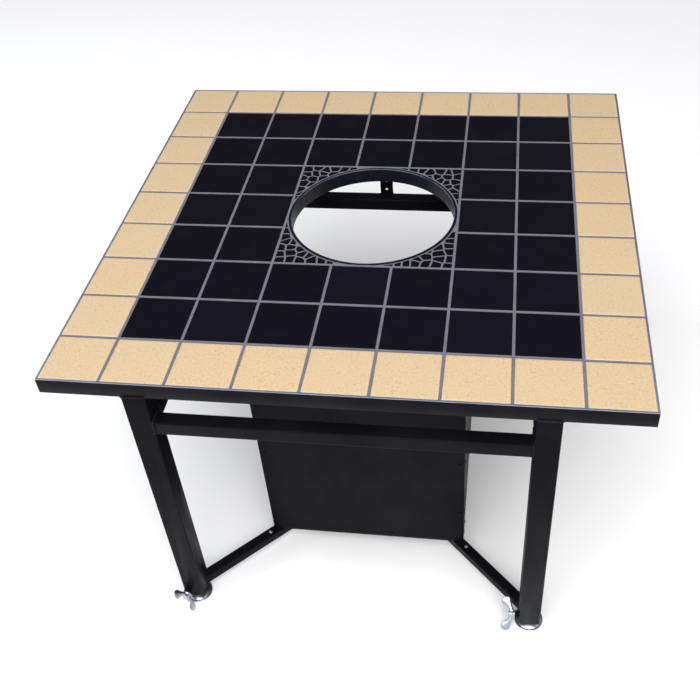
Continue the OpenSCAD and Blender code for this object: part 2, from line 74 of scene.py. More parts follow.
class Socket:  # an output in a tree, so that maths on it reads as maths
    def __init__(self, sheet, out):
        self.sheet = sheet
        self.out = out

    def maths(self, kind, first, second=0.0, third=None):
        inputs = {0: first, 1: second}
        if third is not None:
            inputs[2] = third
        return self.sheet.node("ShaderNodeMath", {"operation": kind}, inputs)

    def __add__(self, other):
        return self.maths("ADD", self, other)

    def __radd__(self, other):
        return self.maths("ADD", other, self)

    def __sub__(self, other):
        return self.maths("SUBTRACT", self, other)

    def __rsub__(self, other):
        return self.maths("SUBTRACT", other, self)

    def __mul__(self, other):
        return self.maths("MULTIPLY", self, other)

    def __rmul__(self, other):
        return self.maths("MULTIPLY", other, self)

    def __gt__(self, other):
        return self.maths("GREATER_THAN", self, other)

    def size(self):
        return self.maths("ABSOLUTE", self)

    def sign(self):
        return self.maths("SIGN", self)

    def most(self, other):
        return self.maths("MAXIMUM", self, other)


class Sheet:  # a shader or geometry tree
    def __init__(self, tree):
        self.tree = tree

    def node(self, kind, settings=None, inputs=None, out=0):
        made = self.tree.nodes.new(kind)
        for key, value in (settings or {}).items():
            if key == "stops":
                ramp = made.color_ramp
                ramp.elements[0].position, ramp.elements[0].color = value[0]
                ramp.elements[1].position, ramp.elements[1].color = value[-1]
                for place, colour in value[1:-1]:
                    ramp.elements.new(place).color = colour
            else:
                setattr(made, key, value)
        for key, value in (inputs or {}).items():
            if isinstance(value, Socket):
                self.tree.links.new(value.out, made.inputs[key])
            elif value is not None:
                made.inputs[key].default_value = value
        return Socket(self, made.outputs[out])


class Finish(Sheet):  # a material
    def __init__(self, name):
        self.material = bpy.data.materials.new(name)
        self.material.use_nodes = True
        super().__init__(self.material.node_tree)
        self.tree.nodes.clear()
        self.place = self.node("ShaderNodeTexCoord", out="Object")

    def axis(self, letter):
        return self.node("ShaderNodeSeparateXYZ", None, {0: self.place}, letter)

    def noise(self, scale, detail=3.0, rough=0.55, stretch=None, shift=(0, 0, 0)):
        place = self.place
        if stretch or any(shift):
            place = self.node("ShaderNodeMapping", None,
                              {"Vector": place, "Scale": stretch or (1, 1, 1), "Location": shift})
        return self.node("ShaderNodeTexNoise", None,
                         {"Vector": place, "Scale": scale, "Detail": detail, "Roughness": rough})

    def step(self, value, low, high, first=0.0, last=1.0):
        return self.node("ShaderNodeMapRange", {"interpolation_type": "SMOOTHSTEP"},
                         {0: value, 1: low, 2: high, 3: first, 4: last})

    def mix(self, amount, first, second):
        pair = [c if isinstance(c, Socket) else (*c, 1) for c in (first, second)]
        return self.node("ShaderNodeMix", {"data_type": "RGBA"}, {0: amount, 6: pair[0], 7: pair[1]}, 2)

    def bump(self, height, distance, strength=1.0):
        return self.node("ShaderNodeBump", None,
                         {"Height": height, "Distance": distance, "Strength": strength})

    def surface(self, **inputs):
        named = {key.replace("_", " "): value for key, value in inputs.items()}
        colour = named.get("Base Color")
        if isinstance(colour, tuple):
            named["Base Color"] = (*colour, 1)
        shader = self.node("ShaderNodeBsdfPrincipled", None, named)
        output = self.tree.nodes.new("ShaderNodeOutputMaterial")
        self.tree.links.new(shader.out, output.inputs["Surface"])
        return self.material


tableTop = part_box("field_tiles")[1].z
collarWall = 5.5 * mm
blackGloss = {"level": 0.05, "tint": (0.82, 0.82, 1.0, 1)}  # the sheen of the black paint, a little blue


def blackPaint(name, tint, peel, gloss):
    f = Finish(name)
    cloud = f.noise(9, 4)
    grain = f.noise(950, 2)
    streak = f.noise(60, 3, stretch=(1, 1, 0.2), shift=(3, 1, 2))
    dust = f.step(f.noise(340, 5, 0.7, shift=(5, 0, 1)), 0.6, 0.74) * f.step(cloud, 0.45, 0.62)
    darker, lighter = [c * 0.7 for c in tint], [c * 1.3 for c in tint]
    dark = f.mix(f.step(cloud, 0.3, 0.7), darker, lighter)
    colour = f.mix(dust * 0.22, dark, (0.07, 0.065, 0.062))
    height = grain * peel + f.noise(130, 2) * (1 - peel)
    rough = f.step(streak + grain * 0.3, 0.3, 0.9, gloss, gloss + 0.2)
    return f.surface(Base_Color=colour, Roughness=rough, Normal=f.bump(height, 0.35 * mm, 0.35),
                     Specular_IOR_Level=blackGloss["level"], Specular_Tint=blackGloss["tint"])


def wornPaintAndHighlight():  # the edge angles: the upper edge is rubbed to bare steel, in a bluish colour that also paints a highlight along it
    f = Finish("edgePaint")
    z = f.axis("Z")
    cloud = f.noise(14, 4)
    # a band along the top lip: rubbed steel, and a painted highlight there
    rubbedAndHighlight = f.step(z, tableTop - 1.6 * mm, tableTop - 0.5 * mm) * f.step(cloud, 0.32, 0.5, 0.55, 1)
    nicks = f.step(f.noise(420, 3, 0.6), 0.7, 0.76) * f.step(z, tableTop - 7 * mm, tableTop - mm)
    bareAndHighlight = rubbedAndHighlight.most(nicks * 0.6)
    scratch = f.noise(300, 3, stretch=(1, 1, 6))
    paint = f.mix(f.step(cloud, 0.3, 0.7), (0.0042, 0.0040, 0.0048), (0.0072, 0.0068, 0.0082))
    # the bluish steel colour: partly rubbed steel, partly a painted highlight
    colour = f.mix(bareAndHighlight, paint, (0.34, 0.37, 0.50))
    return f.surface(Base_Color=colour, Metallic=bareAndHighlight * 0.8,
                     Roughness=f.step(scratch, 0.3, 0.7, 0.3, 0.48),
                     Normal=f.bump(f.noise(900, 2), 0.3 * mm, 0.3),
                     Specular_IOR_Level=blackGloss["level"], Specular_Tint=blackGloss["tint"])


def collarPaint():
    f = Finish("collarPaint")
    z = f.axis("Z")
    low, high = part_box("collar_ring")
    bore = high.x - collarWall
    cloud = f.noise(22, 4)
    flat = f.node("ShaderNodeVectorMath", {"operation": "MULTIPLY"}, {0: f.place, 1: (1, 1, 0)})
    radius = f.node("ShaderNodeVectorMath", {"operation": "LENGTH"}, {0: flat}, "Value")
    upper = f.step(z, tableTop - 1.6 * mm, tableTop - 0.7 * mm)
    # the inner top edge: rubbed steel, and a painted thin highlight line along it
    rim = upper * f.step(radius, bore + 1.4 * mm, bore + 0.8 * mm)
    rubbedAndHighlight = rim * f.step(cloud, 0.35, 0.55, 0.12, 0.5)
    heat = f.step(f.noise(30, 4, shift=(2, 2, 0)), 0.45, 0.7)
    heat = heat * f.step(z, low.z, tableTop, 0.6, 0.15)
    paint = f.mix(heat, (0.005, 0.006, 0.012), (0.014, 0.012, 0.014))
    # the bluish steel colour on that edge: partly rubbed steel, partly a painted highlight
    colour = f.mix(rubbedAndHighlight, paint, (0.20, 0.22, 0.30))
    return f.surface(Base_Color=colour, Metallic=rubbedAndHighlight * 0.75,
                     Roughness=f.step(f.noise(160, 4, stretch=(1, 1, 0.3)), 0.3, 0.7, 0.26, 0.5),
                     Normal=f.bump(f.noise(700, 3), 0.3 * mm, 0.35), Specular_IOR_Level=0.16)


def sandTile():  # satin glaze with fine orange mottling
    f = Finish("sandTile")
    tone = f.node("ShaderNodeAttribute", {"attribute_name": "tone"}, None, "Fac")
    blotch = f.noise(75, 4, 0.6)
    mottle = f.noise(230, 5, 0.72, shift=(1, 4, 2))
    speck = f.step(f.noise(900, 3, 0.8, shift=(6, 2, 5)), 0.62, 0.72)
    base = f.mix(f.step(mottle, 0.34, 0.66), (0.505, 0.365, 0.208), (0.60, 0.475, 0.305))
    base = f.mix(f.step(blotch, 0.42, 0.62) * 0.6, base, (0.585, 0.41, 0.24))
    base = f.mix(speck * 0.22, base, (0.50, 0.29, 0.12))
    base = f.mix(tone * 0.35, base, (0.53, 0.43, 0.295))
    height = mottle * 0.5 + f.noise(60, 2, shift=(0, 3, 1)) * 0.5
    return f.surface(Base_Color=base, Roughness=f.step(mottle + blotch * 0.4, 0.4, 1.0, 0.24, 0.42),
                     Normal=f.bump(height, 0.5 * mm, 0.3), Coat_Weight=0.25, Coat_Roughness=0.12)


def blackGlaze(name, ripple):
    f = Finish(name)
    tone = f.node("ShaderNodeAttribute", {"attribute_name": "tone"}, None, "Fac")
    haze = f.noise(28, 4, 0.6)
    pin = f.step(f.noise(800, 2, 0.5, shift=(2, 7, 1)), 0.72, 0.76)
    base = f.mix(haze, (0.0025, 0.002, 0.004), (0.006, 0.0055, 0.009))
    base = f.mix(tone * 0.4, base, (0.008, 0.007, 0.011))
    wiped = f.noise(16, 5, 0.65, stretch=(1, 0.45, 1), shift=(0, 5, 0))
    smear = f.step(wiped, 0.42, 0.72)
    height = f.noise(42, 2, shift=(4, 0, 2)) + pin * 0.25
    return f.surface(Base_Color=base, Roughness=smear * 0.1 + 0.09,
                     Normal=f.bump(height, 1.2 * mm, ripple), Specular_IOR_Level=0.4)


def mortar(name, light):
    f = Finish(name)
    sand = f.noise(1300, 3, 0.7)
    stain = f.noise(26, 5, 0.6)
    colour = f.mix(f.step(sand, 0.3, 0.7), [c * 0.62 for c in light], light)
    colour = f.mix(f.step(stain, 0.45, 0.75) * 0.5, colour, [c * 0.5 for c in light])
    return f.surface(Base_Color=colour, Roughness=f.step(stain, 0.3, 0.7, 0.75, 0.95),
                     Normal=f.bump(sand + stain * 0.5, 0.6 * mm, 0.6))


def cementBoard():  # raw board with its glass mesh showing through
    f = Finish("cementBoard")
    meshPitch = 4.2 * mm
    x = f.axis("X") * (2 * math.pi / meshPitch)
    y = f.axis("Y") * (2 * math.pi / meshPitch)
    weave = x.maths("SINE", x).most(y.maths("SINE", y))
    mesh = f.step(weave, 0.86, 1.0)
    sand = f.noise(700, 4, 0.7)
    stain = f.noise(11, 4)
    colour = f.mix(sand, (0.30, 0.29, 0.27), (0.47, 0.46, 0.43))
    colour = f.mix(mesh * 0.4, colour, (0.56, 0.56, 0.54))
    colour = f.mix(f.step(stain, 0.5, 0.75) * 0.4, colour, (0.24, 0.22, 0.20))
    return f.surface(Base_Color=colour, Roughness=0.92,
                     Normal=f.bump(sand * 0.5 + mesh, 0.4 * mm, 0.5))


def zincPlate():
    f = Finish("zincPlate")
    spangle = f.node("ShaderNodeTexVoronoi", None, {"Vector": f.place, "Scale": 420}, "Color")
    tint = f.noise(90, 4, 0.6)
    grit = f.noise(1500, 2)
    colour = f.mix(tint, (0.31, 0.34, 0.41), (0.46, 0.49, 0.53))
    colour = f.mix(0.06, colour, spangle)
    dull = f.step(f.noise(55, 5, 0.7, shift=(1, 2, 3)), 0.5, 0.75)
    colour = f.mix(dull * 0.4, colour, (0.22, 0.23, 0.25))
    return f.surface(Base_Color=colour, Metallic=0.95, Roughness=dull * 0.22 + 0.24,
                     Normal=f.bump(grit + tint, 0.3 * mm, 0.3))


def brightSteel():
    f = Finish("brightSteel")
    swirl = f.noise(500, 3, stretch=(1, 1, 5))
    return f.surface(Base_Color=f.mix(swirl, (0.36, 0.37, 0.39), (0.62, 0.62, 0.63)), Metallic=1.0,
                     Roughness=f.step(swirl, 0.3, 0.7, 0.24, 0.42),
                     Normal=f.bump(swirl, 0.2 * mm, 0.3))


def blackNylon():
    f = Finish("blackNylon")
    grain = f.noise(1600, 2)
    return f.surface(Base_Color=f.mix(f.noise(40, 3), (0.012, 0.012, 0.014), (0.03, 0.03, 0.032)),
                     Roughness=f.step(grain, 0.3, 0.7, 0.45, 0.62),
                     Normal=f.bump(grain, 0.2 * mm, 0.4))


finishes = {
    "frame_paint": blackPaint("framePaint", (0.0040, 0.0036, 0.0044), 0.6, 0.27),
    "sheet_paint": blackPaint("sheetPaint", (0.0045, 0.0041, 0.0047), 0.4, 0.34),
    "edge_paint": wornPaintAndHighlight(),
    "collar_paint": collarPaint(),
    "beige_tile": sandTile(),
    "black_tile": blackGlaze("blackTile", 0.12),
    "chip_tile": blackGlaze("chipTile", 0.35),
    "grout": mortar("jointMortar", (0.165, 0.165, 0.20)),
    "field_mortar": mortar("fieldMortar", (0.165, 0.168, 0.195)),
    "cement_board": cementBoard(),
    "zinc": zincPlate(),
    "screw_steel": brightSteel(),
    "plug_plastic": blackNylon(),
    "weld": blackPaint("weldPaint", (0.012, 0.010, 0.015), 0.8, 0.22),
}
slots = {row["node"]: row["material_slot"] for row in frame["record"]["subparts"]}
for node, cadObject in frame["nodes"].items():
    cadObject.data.materials.clear()
    cadObject.data.materials.append(finishes[slots[node]])
print("finishes made")


def addMesh(name, mesh, finish, smooth=smoothBelow):
    piece = bpy.data.objects.new(name, mesh)
    bpy.context.scene.collection.objects.link(piece)
    if finish is not None:
        mesh.materials.clear()
        mesh.materials.append(finishes[finish])
    if smooth:
        mesh.shade_smooth()
        mesh.set_sharp_from_angle(angle=smooth)
    return piece


def meshOf(bm, name):
    mesh = bpy.data.meshes.new(name)
    bm.to_mesh(mesh)
    bm.free()
    return mesh


def settle(piece, smooth=smoothBelow):  # its modifiers become its mesh
    graph = bpy.context.evaluated_depsgraph_get()
    made = bpy.data.meshes.new_from_object(piece.evaluated_get(graph), depsgraph=graph)
    piece.modifiers.clear()
    old = piece.data
    piece.data = made
    bpy.data.meshes.remove(old)
    if smooth:
        made.shade_smooth()
        made.set_sharp_from_angle(angle=smooth)
    return piece


def give(piece, body, slot, *nodes):
    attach(piece, body)
    if nodes:
        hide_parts(*nodes)
    return piece


def merged(node):  # a CAD node's mesh with its triangles joined into whole faces
    bm = bmesh.new()
    bm.from_mesh(frame["nodes"][node].data)
    bmesh.ops.remove_doubles(bm, verts=bm.verts, dist=2e-6)
    bmesh.ops.dissolve_limit(bm, angle_limit=math.radians(0.6), verts=bm.verts, edges=bm.edges)
    return bm


def eased(piece, width, steps, sharp, smooth=smoothBelow):  # edges sharper than so many degrees
    bevel = piece.modifiers.new("edges", "BEVEL")
    bevel.width = width
    bevel.segments = steps
    bevel.limit_method = "ANGLE"
    bevel.angle_limit = math.radians(sharp)
    return settle(piece, smooth)


def softened(node, name, body, slot, finish, width, steps=2):
    piece = addMesh(name, meshOf(merged(node), name), finish)
    return give(eased(piece, width, steps, 50, math.radians(40)), body, slot, node)


def islands(starts):  # the vertices that hang together, in lists
    found, seen = [], set()
    for start in starts:
        if start in seen:
            continue
        stack, island = [start], []
        seen.add(start)
        while stack:
            vert = stack.pop()
            island.append(vert)
            for edge in vert.link_edges:
                other = edge.other_vert(vert)
                if other not in seen:
                    seen.add(other)
                    stack.append(other)
        found.append(island)
    return found


def lathe(profile, turns, name):  # profile of (radius, height), closed at the axis or on itself
    bm = bmesh.new()
    rings = []
    for radius, height in profile:
        if radius == 0:
            rings.append([bm.verts.new((0, 0, height))])
        else:
            angles = [2 * math.pi * k / turns for k in range(turns)]
            rings.append([bm.verts.new((radius * math.cos(a), radius * math.sin(a), height))
                          for a in angles])
    pairs = list(zip(rings, rings[1:]))
    if profile[0][0] > 0 and profile[-1][0] > 0:
        pairs.append((rings[-1], rings[0]))
    for low, high in pairs:
        for k in range(turns):
            after = (k + 1) % turns
            if len(low) == 1:
                bm.faces.new((low[0], high[after], high[k]))
            elif len(high) == 1:
                bm.faces.new((low[k], low[after], high[0]))
            else:
                bm.faces.new((low[k], low[after], high[after], high[k]))
    bmesh.ops.recalc_face_normals(bm, faces=bm.faces)
    return meshOf(bm, name)


def rounded(points, radius, steps=4):  # a polyline's corners turned into arcs
    out = [points[0]]
    for before, corner, after in zip(points, points[1:], points[2:]):
        c = Vector(corner)
        a, b = Vector(before) - c, Vector(after) - c
        cut = min(radius, a.length * 0.45, b.length * 0.45)
        start, end = c + a.normalized() * cut, c + b.normalized() * cut
        for k in range(steps + 1):
            t = k / steps
            point = start * (1 - t) ** 2 + c * 2 * t * (1 - t) + end * t * t
            out.append((point.x, point.y))
    out.append(points[-1])
    return out


def movedTo(mesh, matrix):
    mesh.transform(matrix)
    if matrix.determinant() < 0:
        mesh.flip_normals()
    return mesh


def geometryTree(name, sockets):
    tree = bpy.data.node_groups.new(name, "GeometryNodeTree")
    tree.interface.new_socket("Geometry", in_out="INPUT", socket_type="NodeSocketGeometry")
    tree.interface.new_socket("Geometry", in_out="OUTPUT", socket_type="NodeSocketGeometry")
    for label, kind in sockets:
        tree.interface.new_socket(label, in_out="INPUT", socket_type="NodeSocket" + kind)
    sheet = Sheet(tree)
    group = tree.nodes.new("NodeGroupInput")
    inputs = {item.name: Socket(sheet, item) for item in group.outputs if item.name}
    return sheet, inputs


def endTree(sheet, geometry, material):
    real = sheet.node("GeometryNodeRealizeInstances", None, {0: geometry})
    done = sheet.node("GeometryNodeSetMaterial", None, {"Geometry": real, "Material": material})
    output = sheet.tree.nodes.new("NodeGroupOutput")
    sheet.tree.links.new(done.out, output.inputs[0])
    return sheet.tree


def runTree(piece, tree, **values):
    modifier = piece.modifiers.new(tree.name, "NODES")
    modifier.node_group = tree
    keys = {item.name: item.identifier for item in tree.interface.items_tree if item.in_out == "INPUT"}
    for label, value in values.items():
        modifier[keys[label.replace("_", " ")]] = value
    return settle(piece)


def tileTree():  # a square grid of tiles, with a hole in it and an outer ring of narrower tiles
    sheet, given = geometryTree("tileGrid", [
        ("Tile", "Object"), ("Rows", "Int"), ("Pitch", "Float"), ("Hole", "Float"), ("Ring", "Float"),
        ("Ring Place", "Float"), ("Ring Share", "Float"), ("Height", "Float"), ("Seed", "Int"),
        ("Material", "Material")])
    side = given["Pitch"] * (given["Rows"] - 1)
    points = sheet.node("GeometryNodeMeshGrid", None, {
        "Size X": side, "Size Y": side, "Vertices X": given["Rows"], "Vertices Y": given["Rows"]})
    place = sheet.node("GeometryNodeInputPosition")
    x, y = [sheet.node("ShaderNodeSeparateXYZ", None, {0: place}, letter) for letter in "XY"]
    ringX, ringY = x.size() > given["Ring"], y.size() > given["Ring"]
    moved = sheet.node("ShaderNodeCombineXYZ", None, {
        0: x * (1 - ringX) + x.sign() * given["Ring Place"] * ringX,
        1: y * (1 - ringY) + y.sign() * given["Ring Place"] * ringY,
        2: given["Height"]})
    outside = x.size().most(y.size()) > given["Hole"]
    narrower = 1 - given["Ring Share"]
    scale = sheet.node("ShaderNodeCombineXYZ", None, {
        0: 1 - ringX * narrower, 1: 1 - ringY * narrower, 2: 1.0})
    held = sheet.node("GeometryNodeStoreNamedAttribute", {"data_type": "FLOAT_VECTOR", "domain": "POINT"},
                      {"Geometry": points, "Name": "tileScale", "Value": scale})
    held = sheet.node("GeometryNodeStoreNamedAttribute", {"data_type": "BOOLEAN", "domain": "POINT"},
                      {"Geometry": held, "Name": "kept", "Value": outside})
    held = sheet.node("GeometryNodeSetPosition", None, {"Geometry": held, "Position": moved})
    kept = sheet.node("GeometryNodeInputNamedAttribute", {"data_type": "BOOLEAN"}, {"Name": "kept"})
    sized = sheet.node("GeometryNodeInputNamedAttribute", {"data_type": "FLOAT_VECTOR"},
                       {"Name": "tileScale"})
    tile = sheet.node("GeometryNodeObjectInfo", None, {"Object": given["Tile"]}, "Geometry")
    tilt = sheet.node("FunctionNodeRandomValue", {"data_type": "FLOAT_VECTOR"}, {
        "Min": [-angle for angle in tiles["tilt"]], "Max": tiles["tilt"], "Seed": given["Seed"] + 1})
    laid = sheet.node("GeometryNodeInstanceOnPoints", None, {
        "Points": held, "Selection": kept, "Instance": tile, "Scale": sized, "Rotation": tilt})
    tone = sheet.node("FunctionNodeRandomValue", {"data_type": "FLOAT"},
                      {"Min": 0.0, "Max": 1.0, "Seed": given["Seed"] + 2}, 1)
    toned = sheet.node("GeometryNodeStoreNamedAttribute", {"data_type": "FLOAT", "domain": "INSTANCE"},
                       {"Geometry": laid, "Name": "tone", "Value": tone})
    return endTree(sheet, toned, given["Material"])


def fastenerTree():  # one fastener on each point, its +Z along the point's "way"
    sheet, given = geometryTree("fasteners", [
        ("Fastener", "Object"), ("Seed", "Int"), ("Material", "Material")])
    body = sheet.tree.nodes["Group Input"].outputs[0]
    way = sheet.node("GeometryNodeInputNamedAttribute", {"data_type": "FLOAT_VECTOR"}, {"Name": "way"})
    turn = sheet.node("FunctionNodeAlignRotationToVector", {"axis": "Z"}, {"Vector": way})
    shape = sheet.node("GeometryNodeObjectInfo", None, {"Object": given["Fastener"]}, "Geometry")
    placed = sheet.node("GeometryNodeInstanceOnPoints", None,
                        {"Points": Socket(sheet, body), "Instance": shape, "Rotation": turn})
    spin = sheet.node("FunctionNodeRandomValue", {"data_type": "FLOAT"},
                      {"Min": 0.0, "Max": 6.28, "Seed": given["Seed"]}, 1)
    spun = sheet.node("ShaderNodeCombineXYZ", None, {2: spin})
    turned = sheet.node("GeometryNodeRotateInstances", None, {"Instances": placed, "Rotation": spun})
    return endTree(sheet, turned, given["Material"])


def weldTree():  # overlapping ripples along every edge of the mesh
    sheet, given = geometryTree("weldBead", [
        ("Ripple", "Object"), ("Spacing", "Float"), ("Seed", "Int"), ("Material", "Material")])
    body = sheet.tree.nodes["Group Input"].outputs[0]
    curve = sheet.node("GeometryNodeMeshToCurve", None, {"Mesh": Socket(sheet, body)})
    curve = sheet.node("GeometryNodeResampleCurve", {"mode": "LENGTH"},
                       {"Curve": curve, "Length": given["Spacing"]})
    along = sheet.node("GeometryNodeInputTangent")
    turn = sheet.node("FunctionNodeAlignRotationToVector", {"axis": "Z"}, {"Vector": along})
    shape = sheet.node("GeometryNodeObjectInfo", None, {"Object": given["Ripple"]}, "Geometry")
    size = sheet.node("FunctionNodeRandomValue", {"data_type": "FLOAT_VECTOR"},
                      {"Min": (0.85, 0.85, 0.9), "Max": (1.15, 1.15, 1.15), "Seed": given["Seed"]})
    laid = sheet.node("GeometryNodeInstanceOnPoints", None,
                      {"Points": curve, "Instance": shape, "Rotation": turn, "Scale": size})
    return endTree(sheet, laid, given["Material"])


tiles = {
    "rows": 7,  # of black tiles, inside the border
    "mosaicRows": 3,  # left out in the middle, for the chips and the collar
    "joint": 4.5 * mm,
    "bevel": 1.3 * mm,
    "steps": 3,
    "crown": 0.12 * mm,
    "crownEdge": 6 * mm,
    "tilt": (0.0016, 0.0016, 0.002),  # most that a tile lies askew, in radians
    "borderSeed": 3,
    "fieldSeed": 17,
}
ringLow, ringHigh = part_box("border_tiles")
fieldLow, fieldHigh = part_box("field_tiles")
tileThick = tableTop - ringLow.z
tileRows, jointWide = tiles["rows"], tiles["joint"]
pitch = (fieldHigh.x - fieldLow.x + jointWide) / tileRows
tileSide = pitch - jointWide
ringStart = fieldHigh.x + jointWide
borderDeep = ringHigh.x - ringStart
mosaicHalf = tiles["mosaicRows"] * pitch / 2
chipsHalf = mosaicHalf - jointWide / 2


def oneTile():  # a square tile, its face on z = 0, with eased edges and a hardly crowned face
    bm = bmesh.new()
    bmesh.ops.create_cube(bm, size=1)
    for vert in bm.verts:
        vert.co = Vector((vert.co.x * tileSide, vert.co.y * tileSide, (vert.co.z - 0.5) * tileThick))
    rim = [edge for edge in bm.edges if max(vert.co.z for vert in edge.verts) > -tileThick / 2]
    bmesh.ops.bevel(bm, geom=rim, offset=tiles["bevel"], segments=tiles["steps"], profile=0.55,
                    affect="EDGES", clamp_overlap=True)
    face = [f for f in bm.faces if f.normal.z > 0.999]
    bmesh.ops.inset_region(bm, faces=face, thickness=tiles["crownEdge"], depth=0)
    flatHalf = tileSide / 2 - tiles["crownEdge"] - mm
    for vert in bm.verts:
        if max(abs(vert.co.x), abs(vert.co.y)) > flatHalf and vert.co.z > -tiles["bevel"]:
            vert.co.z -= tiles["crown"]
    return meshOf(bm, "tile")


def laidTiles(name, finish, node, rows, hole, ring, seed):
    piece = addMesh(name, bpy.data.meshes.new(name), None, None)
    runTree(piece, tileGrid, Tile=tileShape, Rows=rows, Pitch=pitch, Hole=hole, Ring=ring,
            Ring_Place=ringStart + borderDeep / 2, Ring_Share=borderDeep / tileSide,
            Height=tableTop, Seed=seed, Material=finishes[finish])
    give(piece, "table", finish, node)


tileShape = addMesh("tileShape", oneTile(), None)
tileGrid = tileTree()
blackHalf = tileRows * pitch / 2
noRing = 1.0  # farther out than any tile
laidTiles("borderTiles", "beige_tile", "border_tiles", tileRows + 2, blackHalf, blackHalf,
          tiles["borderSeed"])
laidTiles("fieldTiles", "black_tile", "field_tiles", tileRows, mosaicHalf, noRing,
          tiles["fieldSeed"])
bpy.data.objects.remove(tileShape)
print("tiles laid")

# grout: a hollowed strip in each joint, and rough mortar round the chips
grout = {
    "dip": 0.72 * mm,  # below the tiles in the joint's middle
    "edge": 0.25 * mm,  # the same beside the tiles
    "wobble": 0.18 * mm,
    "step": 3 * mm,
    "deep": 2.2 * mm,
    "across": (-0.5, -0.36, -0.18, 0, 0.18, 0.36, 0.5),
}


def strip(bm, across, start, end, alongX):  # one joint, closed all round
    count = max(2, round((end - start) / grout["step"]))
    rings = []
    for k in range(count + 1):
        along = start + (end - start) * k / count
        section = []
        for share in grout["across"]:
            dip = grout["edge"] + (grout["dip"] - grout["edge"]) * (1 - (2 * share) ** 2)
            spot = Vector((along, across + share * jointWide, 0)) * 90
            section.append((share, -dip - grout["wobble"] * (0.5 + noise.noise(spot))))
        section += [(0.5, -grout["deep"]), (-0.5, -grout["deep"])]
        ring = []
        for share, rise in section:
            side = across + share * jointWide
            x, y = (along, side) if alongX else (side, along)
            ring.append(bm.verts.new((x, y, tableTop + rise)))
        rings.append(ring)
    for low, high in zip(rings, rings[1:]):
        for k in range(len(low)):
            after = (k + 1) % len(low)
            bm.faces.new((low[k], low[after], high[after], high[k]))
    bm.faces.new(rings[0])
    bm.faces.new(rings[-1])


def groutJoints():
    bm = bmesh.new()
    for alongX in (True, False):
        for k in range(-tileRows, tileRows + 1, 2):
            across = k * pitch / 2
            spans = [(-ringHigh.x, ringHigh.x)]
            if abs(across) < chipsHalf:
                spans = [(-ringHigh.x, -chipsHalf), (chipsHalf, ringHigh.x)]
            for start, end in spans:
                strip(bm, across, start, end, alongX)
    bmesh.ops.recalc_face_normals(bm, faces=bm.faces)
    return meshOf(bm, "groutJoints")


give(addMesh("groutJoints", groutJoints(), "grout"), "table", "grout")

mortarField = {"low": 1.5 * mm, "rough": 0.45 * mm, "deep": 4 * mm, "turns": 360, "rows": 26}


def mortarRound():  # a rough skirt between the collar and the tiles, thick enough to close on the bed
    bm = bmesh.new()
    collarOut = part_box("collar_ring")[1].x
    turns, rows = mortarField["turns"], mortarField["rows"]
    height = tableTop - mortarField["low"]
    rings = []
    for row in range(rows + 1):
        ring = []
        for k in range(turns):
            angle = 2 * math.pi * k / turns
            reach = chipsHalf / max(abs(math.cos(angle)), abs(math.sin(angle)))
            start = min(collarOut, reach - 0.2 * mm)
            radius = start + (reach - start) * row / rows
            spot = Vector((radius * math.cos(angle), radius * math.sin(angle), 0))
            lift = noise.fractal(spot * 160, 1, 2, 3) * mortarField["rough"]
            ring.append(bm.verts.new((spot.x, spot.y, height + max(-mm, min(lift, mm)))))
        rings.append(ring)
    floorZ = tableTop - mortarField["deep"]
    first, last = [[bm.verts.new((vert.co.x, vert.co.y, floorZ)) for vert in ring]
                   for ring in (rings[0], rings[-1])]
    rings = [first] + rings + [last]
    for low, high in zip(rings, rings[1:] + rings[:1]):
        for k in range(turns):
            after = (k + 1) % turns
            bm.faces.new((low[k], low[after], high[after], high[k]))
    bmesh.ops.recalc_face_normals(bm, faces=bm.faces)
    return meshOf(bm, "fieldMortar")


give(addMesh("fieldMortar", mortarRound(), "field_mortar"), "table", "grout")
frame["nodes"]["grout_bed"].data.materials[0] = finishes["field_mortar"]

# broken chips: each one knocked down or tipped a little
chips = {"tip": 0.012, "sink": 0.5 * mm, "leastSink": 0.15, "edge": 0.7 * mm, "seed": 5}


def brokenChips():
    bm = merged("mosaic_chips")
    draw = random.Random(chips["seed"])
    inOrder = sorted(bm.verts, key=lambda vert: [round(part, 5) for part in vert.co])
    for chip in islands(inOrder):
        middle = sum((vert.co for vert in chip), Vector()) / len(chip)
        tipX = draw.uniform(-1, 1) * chips["tip"]
        tipY = draw.uniform(-1, 1) * chips["tip"]
        sink = draw.uniform(chips["leastSink"], 1) * chips["sink"]
        for vert in chip:
            if vert.co.z > tableTop - mm:
                lean = (vert.co.x - middle.x) * tipX + (vert.co.y - middle.y) * tipY
                vert.co.z += min(0, lean) - sink
    return meshOf(bm, "mosaicChips")


piece = addMesh("mosaicChips", brokenChips(), "chip_tile")
give(eased(piece, chips["edge"], 2, 40), "table", "black_tile", "mosaic_chips")
print("grout and chips made")

collar = {"round": 1.3 * mm, "turns": 160}
low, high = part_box("collar_ring")
outer = high.x
inner = outer - collarWall
profile = rounded([(inner, low.z + 8 * mm), (inner, tableTop), (outer, tableTop), (outer, low.z),
                   (inner, low.z), (inner, low.z + 7 * mm)], collar["round"])
give(addMesh("collarRing", lathe(profile, collar["turns"], "collarRing"), "collar_paint"),
     "table", "collar_paint", "collar_ring")

